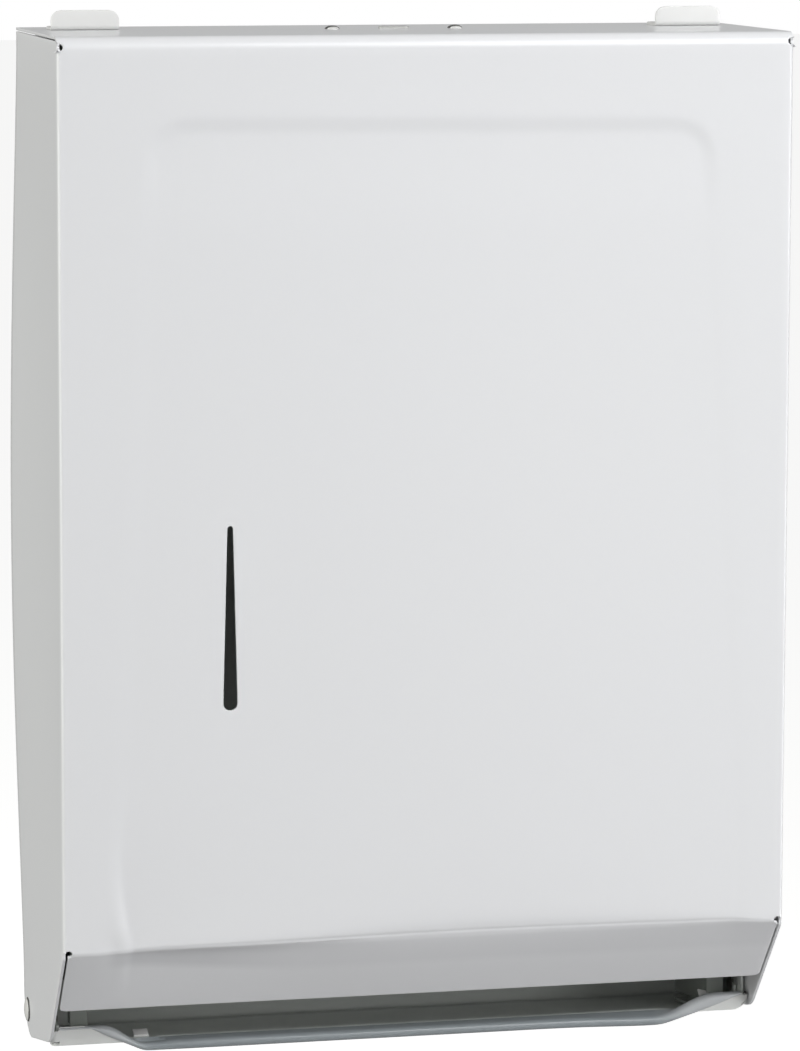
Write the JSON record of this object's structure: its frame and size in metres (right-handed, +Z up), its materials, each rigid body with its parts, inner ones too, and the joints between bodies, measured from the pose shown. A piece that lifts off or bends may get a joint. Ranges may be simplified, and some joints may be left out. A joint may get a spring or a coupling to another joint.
{
  "type": "folded paper towel dispenser",
  "caption": "Wall-mounted enamelled sheet-steel cabinet for folded paper towels, with a key-released drop-down cover, a slanted front opening, a towel tray and two side guides.",
  "frame": {"origin": "middle of the four wall-screw holes, on the back face of the pan that lies on the wall", "axes": "+Z up, +Y into the wall, +X to the right for someone facing the dispenser; the front faces -Y"},
  "size_m": [0.2758, 0.102, 0.3917],
  "materials": {
    "white_enamel": "gloss baked white enamel on sheet steel",
    "inner_steel": "satin grey enamel on sheet steel, in the cabinet's shade",
    "guide_enamel": "white enamel on sheet steel",
    "tray_enamel": "gloss white enamel on sheet steel",
    "spring_steel": "oiled blue-grey spring steel",
    "rivet_steel": "dull zinc-plated steel",
    "painted_rivet": "white enamel over a steel rivet head"
  },
  "bodies": {
    "cabinet": {"back_pan": "inner_steel", "towel_tray": "tray_enamel", "towel_guide_left": "guide_enamel", "towel_guide_right": "guide_enamel", "guide_rivets": "rivet_steel", "tray_rivets": "rivet_steel", "hinge_rivet_left": "painted_rivet", "hinge_rivet_right": "painted_rivet", "hinge_washer_left": "rivet_steel", "hinge_washer_right": "rivet_steel"},
    "cover": {"cover_shell": "white_enamel", "pull_tab_left": "white_enamel", "pull_tab_right": "white_enamel", "latch_plate": "spring_steel", "latch_rivets": "rivet_steel"},
    "latch": {"latch_tongue": "spring_steel"}
  },
  "joints": [
    {"name": "cover_hinge", "type": "hinge", "parent": "cabinet", "child": "cover", "pos_m": [0, -0.011, -0.1825], "axis": [1, 0, 0], "range_deg": [0, 105]},
    {"name": "latch_flex", "type": "hinge", "parent": "cover", "child": "latch", "pos_m": [0, -0.0647, 0.1879], "axis": [-1, 0, 0], "range_deg": [0, 6], "stiffness_Nm_per_rad": 1.7, "springref_deg": -1.15}
  ]
}
